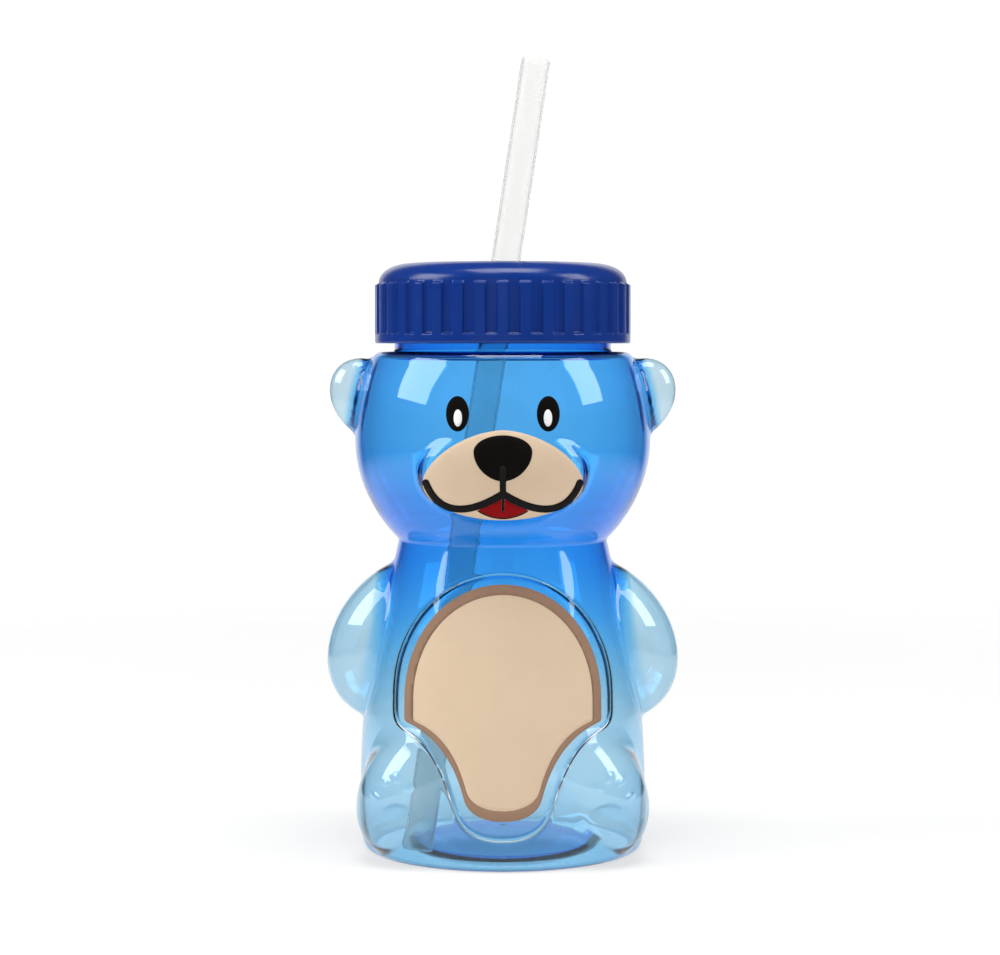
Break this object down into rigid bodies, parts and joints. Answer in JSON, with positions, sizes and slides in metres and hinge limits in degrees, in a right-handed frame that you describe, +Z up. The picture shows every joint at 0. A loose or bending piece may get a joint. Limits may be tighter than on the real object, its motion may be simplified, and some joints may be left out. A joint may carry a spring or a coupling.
{
  "type": "bear-shaped water bottle",
  "caption": "Clear blue blow-moulded drinking bottle in the shape of a sitting bear, with a ribbed screw cap, a loose straw through the cap, and a printed face and belly patch.",
  "frame": {"origin": "where the bottle's axis meets the plane that it stands on", "axes": "+Z up along the bottle's axis; the bear faces -Y; +X is the bear's left side"},
  "size_m": [0.0958, 0.0832, 0.2173],
  "materials": {
    "clear_blue": "clear blue blow-moulded PET, glossy",
    "cap_blue": "opaque royal blue polypropylene, semi-gloss",
    "seal_white": "soft white food-grade silicone",
    "straw_white": "milky white extruded polypropylene",
    "ink_brown": "satin printed ink, brown",
    "ink_tan": "satin printed ink, tan",
    "ink_black": "satin printed ink, black",
    "ink_red": "satin printed ink, red",
    "ink_white": "satin printed ink, white"
  },
  "bodies": {
    "bottle": {"bottle": "clear_blue", "belly_print_border": "ink_brown", "belly_print_fill": "ink_tan", "muzzle_print": "ink_tan", "nose_print": "ink_black", "mouth_print": "ink_black", "tongue_print": "ink_red", "eye_print_left": "ink_black", "eye_print_right": "ink_black", "eye_highlight_left": "ink_white", "eye_highlight_right": "ink_white"},
    "seal": {"rim_seal": "seal_white"},
    "cap": {"cap": "cap_blue"},
    "straw": {"straw": "straw_white"}
  },
  "joints": [
    {"name": "cap_lift", "type": "slide", "parent": "bottle", "child": "seal", "axis": [0, 0, 1], "range_m": [0, 0.02]},
    {"name": "cap_turn", "type": "hinge", "parent": "seal", "child": "cap", "pos_m": [0, 0, 0.149], "axis": [0, 0, 1], "range_deg": [0, 1700]},
    {"name": "straw_slide", "type": "slide", "parent": "seal", "child": "straw", "axis": [0.1463, 0.1477, 0.9782], "range_m": [0, 0.15]}
  ],
  "couplings": [
    {"joint": "cap_lift", "follows": "cap_turn", "m_per_rad": 0.00067375}
  ]
}
